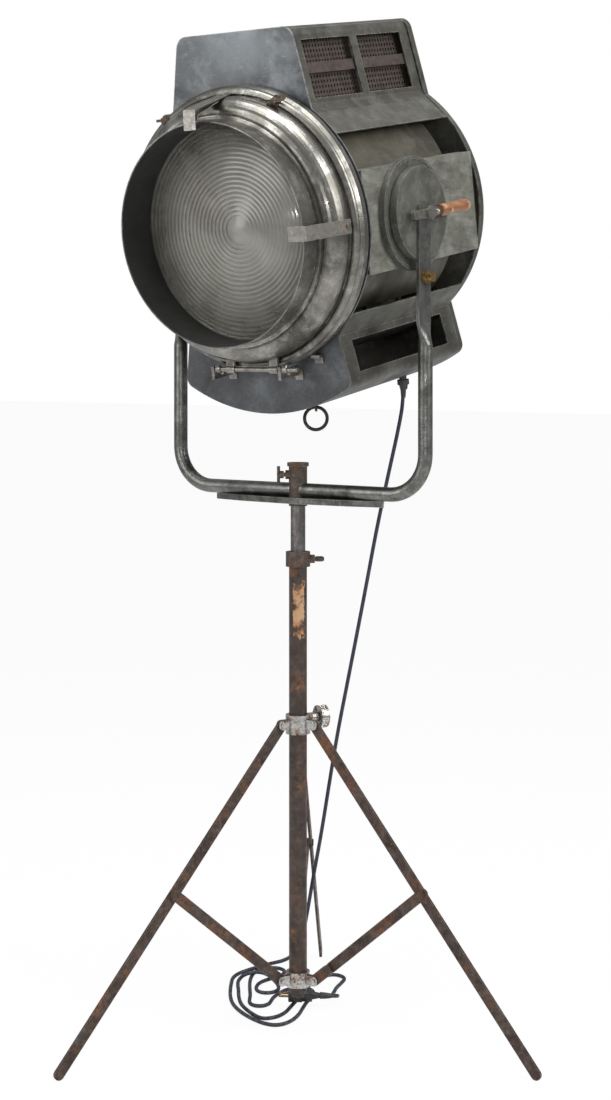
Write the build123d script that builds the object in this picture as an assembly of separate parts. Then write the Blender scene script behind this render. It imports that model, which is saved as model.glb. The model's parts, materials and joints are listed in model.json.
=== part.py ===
from build123d import *
import math
import os

# Studio fresnel spotlight on a two-stage tripod stand.  Millimetres, +Z up,
# floor at Z = 0, mast axis on X = Y = 0, lens towards -Y, yoke along X.

# ---- driving dimensions ------------------------------------------------
TILT_DEG = 9.4            # nose-down angle of the head at rest
PIVOT_Z = 1550.0          # height of the tilt axis
YOKE_HALF = 284.0         # mast axis to the centre line of a yoke arm
YOKE_R = 13.4             # yoke tube radius
YOKE_BAR_Z = 1034.0       # centre line of the bottom bar of the yoke
YOKE_BEND = 76.0          # centre-line radius of the lower bends
STRAP_W = 40.0            # flattened ends of the yoke
STRAP_T = 6.0
PLATE_FRONT_Y = -150.0    # outer face of the front plate
PLATE_REAR_Y = 252.0      # outer face of the rear plate
BODY_R = 261.0            # round part of both plates
HOOD_TOP_Z = 358.0
TRAY_R = 349.0            # arc of the tray bottom, about the optical axis
DRUM_R = 234.0            # inner lamp house
SHEET = 2.5               # housing sheet
RING_LIP_R = 205.0        # lens door, front rim
RING_FLANGE_R = 262.0
RING_FRONT_Y = -277.0
LENS_R = 211.0
LENS_Y = -180.0           # flat rear face of the lens
RIB_PITCH = 8.6
MAST_UPPER_R = 14.0
MAST_LOWER_R = 17.0
MAST_LOWER_TOP = 905.0
MAST_LOWER_END = 84.0
RECEIVER_Z = (1004.0, 1086.0)
LEG_FOOT_R = 494.0        # mast axis to the foot
LEG_HUB_R = 34.7          # mast axis to the leg pivots
LEG_HUB_Z = 590.5
BRACE_HUB_R = 35.5
BRACE_HUB_Z = 107.0
JOINT_R = 262.5           # mast axis to the brace rivet on a leg
LEG_W = 20.0
LEG_T = 5.0
LEG_AZ = (119.6, 245.1, 5.1)   # directions of the three legs
KNOB_AZ = 62.0            # clamp knob of the leg collar
SCREW_AZ = 35.0           # clamp screw of the mast collar
CORD_D = 7.6
GLAND_Y = 147.0           # cable outlet in the tray

HEAD = Pos(0, 0, PIVOT_Z) * Rot(TILT_DEG, 0, 0)


def save(name, shape):
    export_step(shape, "parts/" + name + ".step")


def along(az, r=0.0, z=0.0):
    """Frame on the mast: X outwards in direction az, Z up."""
    return Rot(0, 0, az) * Pos(r, 0, z)


def rod(r, p0, p1):
    a, b = Vector(*p0), Vector(*p1)
    return Solid.make_cylinder(r, (b - a).length, Plane(origin=a, z_dir=b - a))


def tube(ro, ri, z0, z1):
    h = z1 - z0
    return Pos(0, 0, z0 + h / 2) * (Cylinder(ro, h) - Cylinder(ri, h + 2))


def box(x, y, z):
    return Pos((x[0] + x[1]) / 2, (y[0] + y[1]) / 2, (z[0] + z[1]) / 2) * Box(
        abs(x[1] - x[0]), abs(y[1] - y[0]), abs(z[1] - z[0]))


def xz_slab(sketch, y0, y1):
    """Sketch drawn as (x, z), extruded from y0 to y1."""
    return Pos(0, y1, 0) * (
        Rot(90, 0, 0) * extrude(sketch, y1 - y0, dir=(0, 0, 1)))


def spun(points):
    """Ring turned about the optical axis from (radius, y) points."""
    prof = make_face(Plane.XY * Polyline(*[(r, y) for r, y in points], close=True))
    return revolve(prof, Axis.Y)


def up(sketch, h):
    return extrude(sketch, h, dir=(0, 0, 1))


def hexagon(r, h):
    return up(RegularPolygon(r, 6), h)


def wing(span, height, t):
    """Wing screw head: hub with two ears, axis Z, ears along X."""
    hub = Pos(0, 0, height * 0.32) * Cylinder(span * 0.17, height * 0.64)
    ears = Pos(0, 0, height * 0.45) * (Rot(90, 0, 0) * extrude(
        SlotOverall(span, height * 0.62), t / 2, both=True))
    return hub + ears


# ---- housing outlines --------------------------------------------------
def outline(off=0.0):
    """Keyhole shape shared by the front and rear plates, drawn as (x, z)."""
    hood = Polygon((-129, HOOD_TOP_Z), (129, HOOD_TOP_Z), (162, 190), (-162, 190),
                   align=None)
    hood = fillet(hood.vertices().sort_by(Axis.Y)[-2:], 24)
    box_low = Polygon((-166, -180), (166, -180), (206, -372), (-206, -372), align=None)
    box_low = box_low & Circle(TRAY_R)
    low = box_low.vertices().sort_by(Axis.Y)
    side = [v for v in low if v.Y < -200 and abs(v.X) > 150]
    box_low = fillet(side, 20)
    s = Circle(BODY_R) + hood + box_low
    return offset(s, -off, kind=Kind.INTERSECTION) if off else s


def front_plate():
    body = xz_slab(outline(), PLATE_FRONT_Y, PLATE_FRONT_Y + 3)
    body -= xz_slab(Circle(214), PLATE_FRONT_Y - 1, PLATE_FRONT_Y + 4)
    return body


def rear_plate():
    y1 = PLATE_REAR_Y
    body = xz_slab(outline(), y1 - 14, y1)
    body -= xz_slab(outline(2.5), y1 - 15, y1 - 3)
    body -= rod(5.3, (0, y1 - 20, -188), (0, y1 + 5, -188))
    return body


Y_IN0 = PLATE_FRONT_Y + 3
Y_IN1 = PLATE_REAR_Y - 14


def folded(points, t, y0, y1):
    """Sheet folded along Y through the (x, z) points, thickness t."""
    solid = None
    for (x0, z0), (x1, z1) in zip(points, points[1:]):
        length = math.hypot(x1 - x0, z1 - z0)
        ang = math.degrees(math.atan2(z1 - z0, x1 - x0))
        seg = Pos((x0 + x1) / 2, (y0 + y1) / 2, (z0 + z1) / 2) * (
            Rot(0, -ang, 0) * Box(length, y1 - y0, t))
        solid = seg if solid is None else solid + seg
    for x0, z0 in points[1:-1]:
        solid += Pos(x0, (y0 + y1) / 2, z0) * (Rot(90, 0, 0) * Cylinder(t / 2, y1 - y0))
    return solid


HOOD_SIDE = ((126.5, 341), (150.5, 216))     # upper and lower edge of a vent frame


def hood_shell():
    right = [(0, HOOD_TOP_Z - 1.4), (108, HOOD_TOP_Z - 1.4), (121, 352), HOOD_SIDE[0],
             HOOD_SIDE[1], (157, 206), (203, 161)]
    left = [(-x, z) for x, z in right[::-1]]
    shell = folded(left + right[1:], SHEET, Y_IN0, Y_IN1)
    (xa, za), (xb, zb) = HOOD_SIDE
    ang = math.degrees(math.atan2(xb - xa, za - zb))
    mid = ((xa + xb) / 2, (za + zb) / 2)
    for s in (1, -1):
        for ya, yb in ((-124, 36), (58, 210)):
            cut = Box(24, yb - ya, 108)
            shell -= Pos(s * mid[0], (ya + yb) / 2, mid[1]) * (Rot(0, -s * ang, 0) * cut)
    return shell


def vent_strip(s):
    """Flat strip across the middle of a vent, riveted behind the frame."""
    return Pos(s * 133.5, (Y_IN0 + Y_IN1) / 2, 280) * (
        Rot(0, -s * 10.9, 0) * Box(1.6, Y_IN1 - Y_IN0 - 2, 20))


def vent_screen(s):
    """Perforated sheet standing behind the vent frame."""
    length, height = Y_IN1 - Y_IN0 - 6, 130
    holes = Sketch() + [at * SlotOverall(6.2, 4.2) for at in GridLocations(9.6, 9.6, 12, 36)]
    sheet = Rot(0, 90, 0) * extrude(Rectangle(height, length) - holes, 1.2)
    return Pos(s * 121.5, (Y_IN0 + Y_IN1) / 2, 277) * (Rot(0, -s * 10.9, 0) * sheet)


def lamp_drum():
    """Curved lamp house, open above for the chimney and below for the tray."""
    y0, y1 = Y_IN0, 190
    ring = xz_slab(Circle(DRUM_R) - Circle(DRUM_R - 2), y0, y1)
    ring -= box((-138, 138), (y0 - 1, y1 + 1), (0, 300))
    ring -= box((-168, 168), (y0 - 1, y1 + 1), (-300, 0))
    return ring


def chimney_wall(s):
    """Inner baffle from the drum opening up under the screens."""
    return box((s * 104, s * 106), (Y_IN0 + 4, 186), (196, 330))


def side_plate(s):
    """Pressed side slab carrying the pivot: face with folded edges."""
    face = box((s * 247.5, s * 250), (Y_IN0, Y_IN1 + 8), (-94, 93))
    top = box((s * 216.6, s * 250), (Y_IN0, Y_IN1 + 8), (90.5, 93))
    low = box((s * 216.6, s * 250), (Y_IN0, Y_IN1 + 8), (-94, -91.5))
    stiff = box((s * 243.2, s * 247.6), (-60, 60), (-60, 60))
    body = face + top + low + stiff
    body -= rod(9.2, (s * 220, 0, 0), (s * 270, 0, 0))
    return body - xz_slab(Circle(600) - Circle(BODY_R - 3), Y_IN1 - 1, Y_IN1 + 20)


def bottom_tray():
    """Tray with a sloping ledge, a window in each side and an arched floor."""
    outer = outline() & Pos(0, -300) * Rectangle(500, 196)
    inner = outline(2.6) & Pos(0, -300) * Rectangle(500, 210)
    shell = xz_slab(outer - inner, Y_IN0, Y_IN1)
    shell += folded([(169.5, -203), (203, -163)], SHEET, Y_IN0, Y_IN1)
    shell += folded([(-169.5, -203), (-203, -163)], SHEET, Y_IN0, Y_IN1)
    for s in (1, -1):
        shell -= box((s * 150, s * 220), (-112, 200), (-274, -216))
    for x in (0, 109):
        y = 0 if x == 0 else GLAND_Y
        shell -= Pos(x, y, -330) * Cylinder(4.3 if x == 0 else 7.3, 60)
    return shell


def tray_pan():
    """Dark flat pan closing the lamp house off from the tray."""
    return box((-160, 160), (Y_IN0 + 4, Y_IN1 - 6), (-202, -200.4))


# ---- tilt mount ---------------------------------------------------------
def pivot_disc(s):
    disc = rod(105, (s * 250.4, 0, 0), (s * 261, 0, 0))
    lip = rod(105, (s * 261, 0, 0), (s * 263, 0, 0)) - rod(99, (s * 260, 0, 0), (s * 264, 0, 0))
    return disc + lip - rod(9.2, (s * 240, 0, 0), (s * 270, 0, 0))


def friction_disc(s):
    disc = rod(86, (s * 263.4, 0, 0), (s * 277.4, 0, 0))
    return disc - rod(9.26, (s * 240, 0, 0), (s * 290, 0, 0))


def tilt_bolt(s):
    """Shaft with its head behind the side slab; turns in the yoke."""
    bolt = rod(9.2, (s * 234, 0, 0), (s * 276.5, 0, 0)) + rod(7.95, (s * 276, 0, 0), (s * 289, 0, 0))
    return bolt + rod(17, (s * 234.4, 0, 0), (s * 243, 0, 0))


def tilt_lever():
    """Clamp lever: flat bar on the pivot with a bolt head at its end."""
    bar = Pos(289.5, -8, 0) * Box(7, 88, 16)
    bar -= rod(8.0, (284, 0, 0), (298, 0, 0)) + rod(4.0, (284, 22, 0), (298, 22, 0))
    tang = rod(5, (290.8, 34, 0), (290.8, 62, 0))
    return fillet(bar.edges().filter_by(Axis.X).sort_by(Axis.Y)[:2], 5) + tang


def lever_nut():
    return Pos(293.1, 0, 0) * (Rot(0, 90, 0) * hexagon(13, 7))


def lever_grip():
    prof = make_face(Polyline((5.05, 38), (10, 38), (11.5, 52), (10.5, 90), (12.5, 120),
                              (11, 134), (6, 139), (0, 139), (0, 62.5), (5.05, 62.5),
                              close=True))
    return Pos(290.8, 0, 0) * revolve(prof, Axis.Y)


def lever_bolt():
    return rod(6.5, (293.1, 22, 0), (297, 22, 0)) + Pos(297, 22, 0) * Sphere(5.2)


# ---- lens door ------------------------------------------------------------
def door_ring():
    f = RING_FRONT_Y
    pts = [(202, f), (RING_LIP_R, f), (RING_LIP_R + 1, f + 37), (203.5, f + 38.5),
           (203.5, f + 42), (211.5, f + 43.5)]
    for k in range(0, 11):                     # barrel bulge
        a = math.radians(100 - k * 10.5)
        pts.append((212 + 28 * math.cos(a) + 4, f + 83 - 36 * math.sin(a)))
    pts += [(239.5, f + 87), (240.5, f + 89)]
    for k in range(0, 8):                      # torus bead
        a = math.radians(150 - k * 24)
        pts.append((250 + 8.5 * math.cos(a), f + 96 - 8.5 * math.sin(a)))
    pts += [(RING_FLANGE_R - 1, f + 104), (RING_FLANGE_R, f + 106),
            (RING_FLANGE_R, f + 118), (RING_FLANGE_R - 4, f + 119.5), (238, f + 119.5),
            (214, f + 119.5), (214, f + 84), (202, f + 82)]
    ring = spun(pts)
    for x, z in SCREWS:
        ring -= rod(3.6, (x, -150, z), (x, -200, z)) + rod(10.5, (x, -164, z), (x, -200, z))
    return ring


def fresnel_lens():
    """Stepped lens: flat back, concentric ribs, domed centre."""
    yb = LENS_Y
    pts = [(0, yb), (LENS_R, yb), (LENS_R, yb - 8)]
    r = LENS_R - 3
    pts.append((r, yb - 8))
    while r - RIB_PITCH > 22:
        drop = 2.2 + 3.2 * (r / LENS_R)
        pts.append((r, yb - 8.5))
        pts.append((r - RIB_PITCH * 0.55, yb - 8.5 - drop * 0.78))
        pts.append((r - RIB_PITCH + 0.7, yb - 8.5 - drop))
        r -= RIB_PITCH
    for k in range(0, 7):
        a = k / 6
        pts.append((r * (1 - a), yb - 8.5 - 5.5 * (1 - (1 - a) ** 2)))
    return spun(pts)


def lens_retainer():
    return spun([(200, LENS_Y + 0.4), (213.6, LENS_Y + 0.4), (213.6, LENS_Y + 8),
                 (210, LENS_Y + 8), (210, LENS_Y + 3), (200, LENS_Y + 3)])


def clip_strap(t=2.2, w=26.0):
    """Accessory holder: strap off the ring, turned in over the front; +X side."""
    a = folded([(247.2, 191), (226.5, 300), (191, 303)], t, -w / 2, w / 2)
    return Rot(90, 0, 0) * a - rod(3.1, (230, -199, 0), (260, -199, 0))


def clip_rivet():
    return rod(3.1, (244.1, -199, 0), (248.6, -199, 0)) + Pos(248.6, -199, 0) * (
        Rot(0, 90, 0) * Cylinder(5.5, 2.6))


LATCH = Pos(0, -233.6, 234.2) * Rot(17.33, 0, 0)     # swing rivet of the top holder's latch


def latch_leaf():
    """Inner leaf of the top holder; swings sideways on its rivet."""
    leaf = folded([(236.6, 226), (216, 292), (206, 294)], 1.6, -11, 11)
    return Rot(0, -90, 0) * (Rot(90, 0, 0) * leaf) - LATCH * Cylinder(2.56, 12)


def latch_pin():
    return LATCH * (Pos(0, 0, 0.9) * Cylinder(2.5, 8) + Pos(0, 0, -2.5) * Cylinder(4.4, 1.8))


SCREWS = ((-144, 209), (111, 229))          # door screws, (x, z)


def door_screw():
    """Captive wing screw through a boss of the ring; axis Y, ears along X."""
    screw = rod(3.6, (0, 150.4 - 158.1, 0), (0, -38, 0))
    head = Pos(0, -38, 0) * (Rot(90, 0, 0) * wing(32, 16, 5))
    return screw + head


def screw_boss():
    return rod(10.5, (0, -14, 0), (0, -37, 0)) - rod(3.6, (0, 0, 0), (0, -50, 0))


ROD_Z = -257.0            # hinge rod of the lens door
ROD_Y = -197.0


def hinge_rod():
    return rod(4.5, (-86, ROD_Y, ROD_Z), (108, ROD_Y, ROD_Z))


def hinge_lug(x):
    """Fixed ear on the front plate."""
    ear = box((x - 3, x + 3), (ROD_Y - 9, ROD_Y + 7), (ROD_Z - 18, ROD_Z + 6))
    ear += box((x - 3, x + 3), (ROD_Y, PLATE_FRONT_Y), (ROD_Z - 18, ROD_Z - 1))
    ear += box((x - 3, x + 14), (PLATE_FRONT_Y - 3, PLATE_FRONT_Y), (ROD_Z - 26, ROD_Z - 7))
    return ear - rod(4.5, (x - 9, ROD_Y, ROD_Z), (x + 9, ROD_Y, ROD_Z))


def door_leaf():
    """Arm fixed under the door ring, eyes running on the rod."""
    body = None
    for x in (-42, 56):
        eye = rod(7.4, (x - 9, ROD_Y, ROD_Z), (x + 9, ROD_Y, ROD_Z))
        arm = box((x - 9, x + 9), (ROD_Y - 3, ROD_Y + 3), (ROD_Z, -230))
        body = eye + arm if body is None else body + eye + arm
    ring = xz_slab(Circle(244.05), ROD_Y - 12, ROD_Y + 12)
    return body - rod(4.56, (-110, ROD_Y, ROD_Z), (110, ROD_Y, ROD_Z)) - ring


def rod_nut(x):
    nut = wing(23, 16, 5) + Pos(0, 0, 5) * Cylinder(7, 10)
    nut = Pos(x, ROD_Y, ROD_Z) * (Rot(0, 90, 0) * (Rot(0, 0, 40) * nut))
    return nut - rod(4.5, (-120, ROD_Y, ROD_Z), (160, ROD_Y, ROD_Z))


def door_catch():
    """Small angle bracket beside the right-hand ear."""
    return box((116, 134), (-164, -150), (-241, -236)) + box((116, 134), (-153, -150), (-252, -236))


# ---- inside the lamp house ------------------------------------------------
def rail(s):
    return rod(5, (s * 60, Y_IN0 + 2, -190), (s * 60, Y_IN1 - 2, -190))


def rail_foot(y):
    foot = box((-72, 72), (y - 4, y + 4), (-200.4, -180))
    foot -= box((-46, 46), (y - 6, y + 6), (-196, -176))
    for s in (1, -1):
        foot -= rod(5, (s * 60, y - 9, -190), (s * 60, y + 9, -190))
    return foot


def carriage():
    """Focus carriage on two rails, with the nut for the lead screw."""
    table = box((-74, 74), (10, 120), (-178, -172))
    for s in (1, -1):
        for y in (20, 100):
            shoe = box((s * 50, s * 70), (y, y + 12), (-198, -174))
            table += shoe - rod(5.06, (s * 60, y - 2, -190), (s * 60, y + 20, -190))
    table += box((-12, 12), (58, 78), (-198, -176)) - rod(5.06, (0, 50, -188), (0, 90, -188))
    return table + box((-30, 30), (28, 72), (-173, -80))


def lead_screw():
    return rod(5, (0, -132, -188), (0, 262, -188)) + rod(7, (0, 228, -188), (0, 234, -188))


def screw_bearing(y):
    b = box((-16, 16), (y - 5, y + 5), (-200.4, -174))
    return b - rod(5.06, (0, y - 9, -188), (0, y + 9, -188))


def focus_knob():
    knob = rod(24, (0, 256, -188), (0, 276, -188)) + rod(12, (0, 253.4, -188), (0, 257, -188))
    for k in range(12):
        a = math.radians(30 * k)
        knob -= rod(2.4, (24.6 * math.sin(a), 256.5, -188 + 24.6 * math.cos(a)),
                    (24.6 * math.sin(a), 275.5, -188 + 24.6 * math.cos(a)))
    return knob - rod(5, (0, 250, -188), (0, 262, -188))


def lamp_socket():
    return Pos(0, 52, -66) * (Cylinder(30, 28) - Pos(0, 0, 6) * Cylinder(20.6, 20))


def lamp_cap():
    return Pos(0, 52, -52) * (Cylinder(20.3, 34) - Pos(0, 0, 8) * Cylinder(18, 24))


def lamp_envelope():
    prof = make_face(Polyline((0, -56), (17.6, -56), (17.8, -34), (24, -14), (46, 6),
                              (52, 26), (46, 48), (28, 64), (0, 70), close=True))
    return Pos(0, 52, 0) * revolve(Rot(90, 0, 0) * prof, Axis.Z)


def reflector():
    """Spherical mirror behind the lamp."""
    ball = Sphere(118) - Sphere(116.4)
    cap = ball & Pos(0, 90, 0) * Box(200, 90, 200)
    return Pos(0, 50, 26) * cap


def reflector_stem():
    stem = box((-9, 9), (84, 88), (-172, -96)) + box((-9, 9), (84, 140), (-98, -94))
    return stem + box((-9, 9), (136, 140), (-94, -62))


def terminal_block():
    b = box((70, 130), (176, 202), (-222, -202))
    for k in range(3):
        b -= Pos(82 + 18 * k, 189, -222) * Cylinder(4, 8)
    return b


def cable_gland():
    g = Cylinder(7.3, 34) + Pos(0, 0, -12) * hexagon(13, 9)
    g += Pos(0, 0, -17) * Cone(9, 7, 10, rotation=(180, 0, 0))
    return Pos(109, GLAND_Y, -334) * (g - Cylinder(5.6, 80))


def pull_eye():
    stem = Pos(0, 0, -345) * Cylinder(4.3, 18) + Pos(0, 0, -353.4) * hexagon(8, 4)
    loop = Pos(0, 0, -364) * (Rot(0, 0, -54.9) * (Rot(90, 0, 0) * Torus(7.6, 2.6)))
    return stem + loop


def pull_ring():
    """Hangs plumb from the eye; built in the floor frame."""
    return Pos(0, 59.5, 1167.9) * (Rot(0, 0, 35.1) * (Rot(90, 0, 0) * Torus(21.7, 3.3)))


# ---- yoke -------------------------------------------------------------------
def yoke_frame():
    """One round tube bent to a U, both ends pressed flat into straps."""
    zt = PIVOT_Z - 240
    h, b = YOKE_HALF, YOKE_BEND
    path = FilletPolyline((-h, 0, zt), (-h, 0, YOKE_BAR_Z), (h, 0, YOKE_BAR_Z), (h, 0, zt),
                          radius=b)
    prof = Plane(origin=path @ 0, z_dir=path % 0) * Circle(YOKE_R)
    bar = sweep(prof, path)
    for s in (1, -1):
        flat = Plane(origin=(s * (h - 3.6), 0, zt + 40), z_dir=(0, 0, 1)) * Rectangle(
            STRAP_T, STRAP_W)
        round_end = Plane(origin=(s * h, 0, zt), z_dir=(0, 0, 1)) * Circle(YOKE_R)
        bar += loft([round_end, flat])
        strap = Pos(s * (h - 3.6), 0, (zt + 40 + PIVOT_Z + 22) / 2) * Box(
            STRAP_T, STRAP_W, PIVOT_Z + 22 - zt - 40)
        strap = fillet(strap.edges().filter_by(Axis.X).sort_by(Axis.Z)[-2:], 17)
        bar += strap
        bar -= rod(8.0, (s * 270, 0, PIVOT_Z), (s * 292, 0, PIVOT_Z))
    bar -= rod(4.55, (270, 0, PIVOT_Z - 117), (300, 0, PIVOT_Z - 117))
    return bar - Pos(0, 0, 1049) * Cylinder(17.45, 90)


def yoke_saddle():
    """Leaf-shaped plate under the bar, carrying the receiver."""
    leaf = Polygon((-194, 0), (-120, 17), (0, 27), (120, 17), (194, 0), (120, -17), (0, -27),
                   (-120, -17), align=None)
    plate = Pos(0, 0, 1009) * up(leaf, 11.4)
    return plate - Pos(0, 0, 1049) * Cylinder(17.45, 90)


def receiver():
    z0, z1 = RECEIVER_Z
    body = tube(17.45, 11.3, z0, z1) + tube(20.5, 17.4, z1 - 7, z1)
    body += Rot(0, 0, 180 + SCREW_AZ) * rod(8.5, (12, 0, 1063), (24, 0, 1063))
    return body - Rot(0, 0, 180 + SCREW_AZ) * rod(4.06, (5, 0, 1063), (30, 0, 1063))


def receiver_bolt():
    b = rod(4, (11.6, 0, 1063), (40, 0, 1063)) + rod(7, (27, 0, 1063), (34, 0, 1063))
    b += rod(3, (37, 0, 1047), (37, 0, 1079))
    return Rot(0, 0, 180 + SCREW_AZ) * b


def brass_knob():
    k = rod(4.5, (277.2, 0, 0), (290, 0, 0)) + rod(12, (284, 0, 0), (292, 0, 0))
    k += rod(9, (291, 0, 0), (302, 0, 0))
    return Pos(0, 0, PIVOT_Z - 117) * k


# ---- stand ------------------------------------------------------------------
def mast_upper():
    return tube(MAST_UPPER_R, 12.0, 330, RECEIVER_Z[0] - 0.6)


def mast_spigot():
    z = RECEIVER_Z[0] - 0.6
    return tube(11.24, 3, z, 1080) + tube(12.0, 3, z - 40, z + 0.1)


def mast_glide():
    """Bush at the foot of the upper tube."""
    return tube(14.28, 14.0, 332, 362)


def mast_lower():
    body = tube(MAST_LOWER_R, 14.35, MAST_LOWER_END, MAST_LOWER_TOP)
    return body - Rot(0, 0, SCREW_AZ) * rod(3.95, (10, 0, 903), (25, 0, 903))


def mast_collar():
    body = tube(23.2, MAST_LOWER_R, 889, 905) + tube(23.2, 14.35, 905, 917)
    boss = Rot(0, 0, SCREW_AZ) * rod(8, (18, 0, 903), (32, 0, 903))
    body = body + (boss - Cylinder(17.2, 4000))
    return body - Rot(0, 0, SCREW_AZ) * rod(4.06, (10, 0, 903), (40, 0, 903))


def mast_screw():
    s = rod(3.9, (14.4, 0, 903), (38, 0, 903)) + Pos(33, 0, 903) * (
        Rot(0, 90, 0) * (Rot(0, 0, 90) * wing(30, 22, 5)))
    return Rot(0, 0, SCREW_AZ) * s


def clevis(az, r, z, gap):
    """Two cheeks on a collar, seen along its own radius."""
    cheeks = None
    for s in (1, -1):
        c = box((14, r + 9), (s * (gap / 2), s * (gap / 2 + 3.5)), (z - 9, z + 9))
        c = fillet(c.edges().filter_by(Axis.Y).sort_by(Axis.X)[-2:], 8)
        cheeks = c if cheeks is None else cheeks + c
    return along(az) * (cheeks - rod(3.0, (r, -12, z), (r, 12, z)))


def leg_collar():
    """Sliding collar with three clevises and the clamp boss."""
    body = tube(23.5, MAST_LOWER_R + 0.05, 572, 608)
    for az in LEG_AZ:
        body += clevis(az, LEG_HUB_R, LEG_HUB_Z, LEG_T + 0.8)
    body += Rot(0, 0, KNOB_AZ) * rod(9, (20, 0, 600), (40, 0, 600))
    body -= Rot(0, 0, KNOB_AZ) * rod(5.06, (10, 0, 600), (50, 0, 600))
    return body - Cylinder(MAST_LOWER_R + 0.05, 4000)


def leg_collar_knob():
    k = rod(5, (17.5, 0, 600), (44, 0, 600)) + rod(21.6, (42, 0, 600), (58, 0, 600))
    for i in range(30):
        a = math.radians(12 * i)
        k -= rod(0.9, (43, 21.8 * math.cos(a), 600 + 21.8 * math.sin(a)),
                 (57, 21.8 * math.cos(a), 600 + 21.8 * math.sin(a)))
    return Rot(0, 0, KNOB_AZ) * k


def foot_collar():
    """Fixed collar at the foot of the mast, clevises for the braces."""
    body = tube(22.5, MAST_LOWER_R, 93, 121)
    for az in LEG_AZ:
        body += clevis(az, BRACE_HUB_R, BRACE_HUB_Z, LEG_T + 0.8)
    return body - Cylinder(MAST_LOWER_R, 4000)


def mast_end():
    return tube(14.35, 8, 78, 130) + tube(10.5, 8, 72, 84)


def pins(r, z):
    p = None
    for az in LEG_AZ:
        one = along(az) * (rod(3.0, (r, -9, z), (r, 9, z)) + rod(5, (r, 6.4, z), (r, 9.4, z))
                           + rod(5, (r, -9.4, z), (r, -6.4, z)))
        p = one if p is None else p + one
    return p


def flat_bar(p0, p1, y0, over0, over1):
    """Flat bar in the X-Z plane between two eyes, rounded ends."""
    (x0, z0), (x1, z1) = p0, p1
    length = math.hypot(x1 - x0, z1 - z0)
    ang = math.degrees(math.atan2(z1 - z0, x1 - x0))
    bar = SlotOverall(length + over0 + over1, LEG_W)
    solid = up(bar, LEG_T)
    solid = Pos((length + over1 - over0) / 2, 0, 0) * solid
    return Pos(x0, y0 + LEG_T, z0) * (Rot(0, -ang, 0) * (Rot(90, 0, 0) * solid))


def joint_z():
    t = (JOINT_R - LEG_HUB_R) / (LEG_FOOT_R - LEG_HUB_R)
    return LEG_HUB_Z + t * (6 - LEG_HUB_Z)


def leg(az):
    hub = (LEG_HUB_R, LEG_HUB_Z)
    bar = flat_bar(hub, (LEG_FOOT_R, 6), -LEG_T / 2, 9, 4)
    bar -= rod(3.05, (LEG_HUB_R, -9, LEG_HUB_Z), (LEG_HUB_R, 9, LEG_HUB_Z))
    bar -= rod(3.4, (JOINT_R, -9, joint_z()), (JOINT_R, 9, joint_z()))
    bar -= box((0, 900), (-20, 20), (-40, 0))
    return along(az) * bar


def leg_rivet(az):
    z = joint_z()
    return along(az) * (rod(3.4, (JOINT_R, -2.5, z), (JOINT_R, 2.5, z))
                        + rod(7, (JOINT_R, -5.2, z), (JOINT_R, -2.6, z)))


def brace(az):
    """Brace set beside its leg, cranked back to the middle at the hub."""
    z = joint_z()
    p0, p1 = (BRACE_HUB_R, BRACE_HUB_Z), (JOINT_R, z)
    ux, uz = p1[0] - p0[0], p1[1] - p0[1]
    n = math.hypot(ux, uz)
    k0 = (p0[0] + ux / n * 38, p0[1] + uz / n * 38)
    inner = flat_bar(p0, k0, -LEG_T / 2, 9, 8)
    outer = flat_bar((k0[0] + ux / n * 8, k0[1] + uz / n * 8), p1, LEG_T / 2 + 0.5, 10, 9)
    mid = (k0[0] + ux / n * 4, k0[1] + uz / n * 4)
    jog = Pos(mid[0], LEG_T / 2 + 0.25, mid[1]) * (Rot(0, -math.degrees(
        math.atan2(uz, ux)), 0) * Box(7, 2 * LEG_T + 0.5, 18))
    bar = inner + outer + jog
    bar -= rod(3.05, (BRACE_HUB_R, -9, BRACE_HUB_Z), (BRACE_HUB_R, 9, BRACE_HUB_Z))
    bar -= rod(3.4, (JOINT_R, -9, z), (JOINT_R, 19, z))
    return along(az) * bar


def brace_rivet(az):
    z = joint_z()
    y = LEG_T / 2 + 0.5
    return along(az) * (rod(3.4, (JOINT_R, y, z), (JOINT_R, y + LEG_T, z))
                        + rod(7, (JOINT_R, y + LEG_T, z), (JOINT_R, y + LEG_T + 2.6, z)))


# ---- cord -------------------------------------------------------------------
CORD_POINTS = [(109, 199.7, 1243.5), (107, 206, 1204), (97, 203, 1146), (76, 197, 1052),
               (53, 192, 948), (33, 188.5, 846), (11, 187, 744), (-12, 185.5, 640),
               (-35, 184.5, 538), (-54, 184, 438), (-72, 183.5, 340), (-92, 182, 244),
               (-109, 182, 158), (-127, 190, 108), (-158, 206, 72), (-200, 230, 48),
               (-240, 248, 32), (-252, 252, 26)]


def corner_radii(points):
    radii = []
    for a, b, c in zip(points, points[1:], points[2:]):
        u, v = Vector(*b) - Vector(*a), Vector(*c) - Vector(*b)
        half = math.radians(u.get_angle(v)) / 2
        radii.append(0.45 * min(u.length, v.length) / math.tan(half))
    return radii


def cord_drop():
    """Straight runs joined by tangent arcs."""
    radii = corner_radii(CORD_POINTS)
    print("cord corner radii", [round(r) for r in radii])
    path = FilletPolyline(*CORD_POINTS, radius=radii)
    prof = Plane(origin=path @ 0, z_dir=path % 0) * Circle(CORD_D / 2)
    body = sweep(prof, path)
    print("cord volume ratio", body.volume / (path.length * math.pi * (CORD_D / 2) ** 2))
    return body


PLUG_AT = Pos(-108, 121, 24) * Rot(0, 0, 30.3)


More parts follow.
